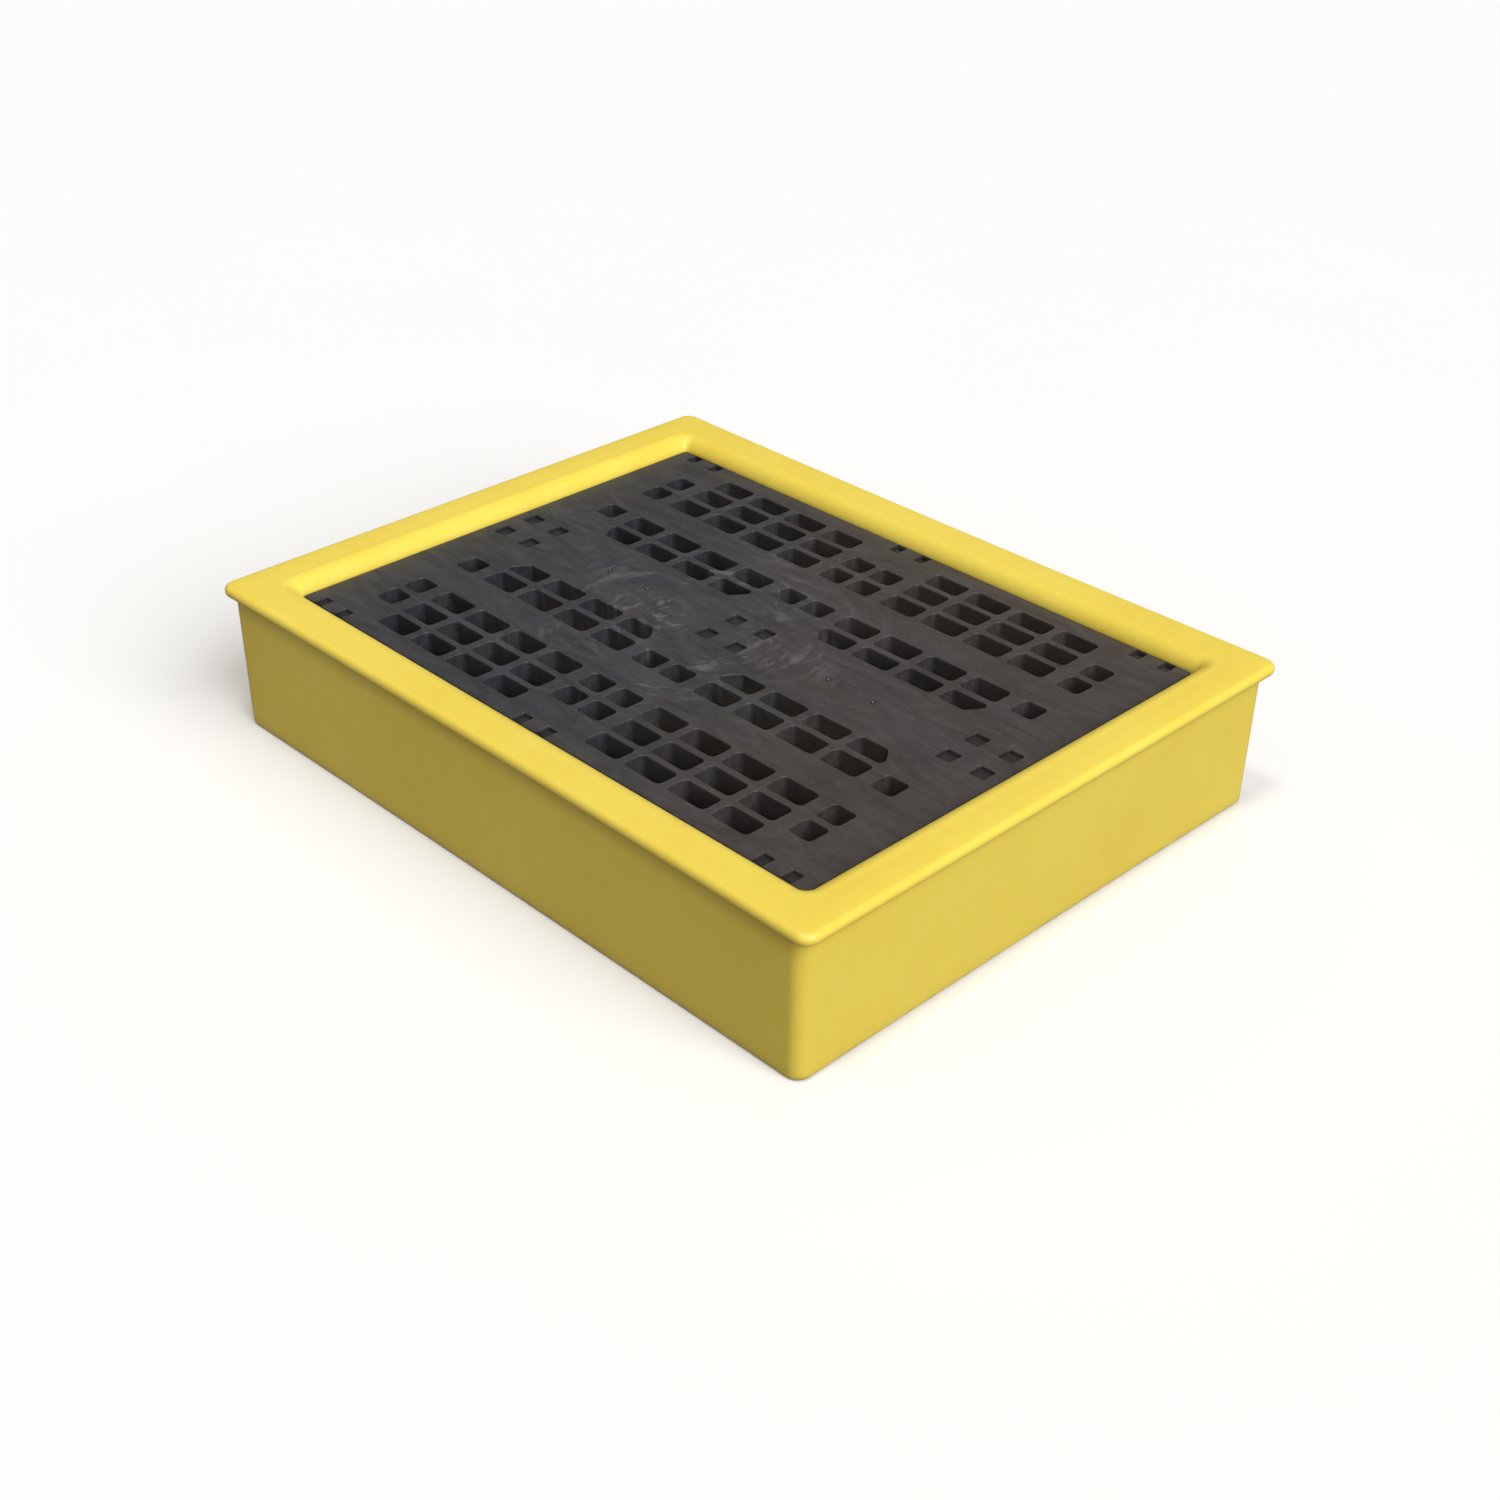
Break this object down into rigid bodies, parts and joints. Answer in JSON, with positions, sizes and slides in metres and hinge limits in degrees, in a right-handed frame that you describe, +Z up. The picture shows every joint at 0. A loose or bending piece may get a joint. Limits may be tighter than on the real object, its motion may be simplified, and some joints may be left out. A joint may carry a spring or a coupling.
{
  "type": "spill containment pallet",
  "caption": "Low rectangular spill containment pallet: a moulded sump tray with a broad rounded rim and, inside it, a lift-out dark slotted deck pallet standing on blocks and runners.",
  "frame": {"origin": "centre of the tray's footprint, on the ground", "axes": "+X along the tray's length, +Y across its width, +Z up"},
  "size_m": [1.4, 1.092, 0.268],
  "materials": {
    "tray_plastic": "yellow moulded polyethylene, satin to semi-gloss",
    "pallet_plastic": "charcoal moulded polyethylene, matt with flow marks"
  },
  "bodies": {
    "tray": {"sump_tray": "tray_plastic"},
    "pallet": {"pallet_deck": "pallet_plastic", "foot_front_left": "pallet_plastic", "foot_front_centre": "pallet_plastic", "foot_front_right": "pallet_plastic", "foot_middle_left": "pallet_plastic", "foot_middle_centre": "pallet_plastic", "foot_middle_right": "pallet_plastic", "foot_back_left": "pallet_plastic", "foot_back_centre": "pallet_plastic", "foot_back_right": "pallet_plastic", "runner_front": "pallet_plastic", "runner_middle": "pallet_plastic", "runner_back": "pallet_plastic"}
  },
  "joints": [
    {"name": "pallet_lift", "type": "slide", "parent": "tray", "child": "pallet", "axis": [0, 0, 1], "range_m": [0, 0.25]}
  ]
}
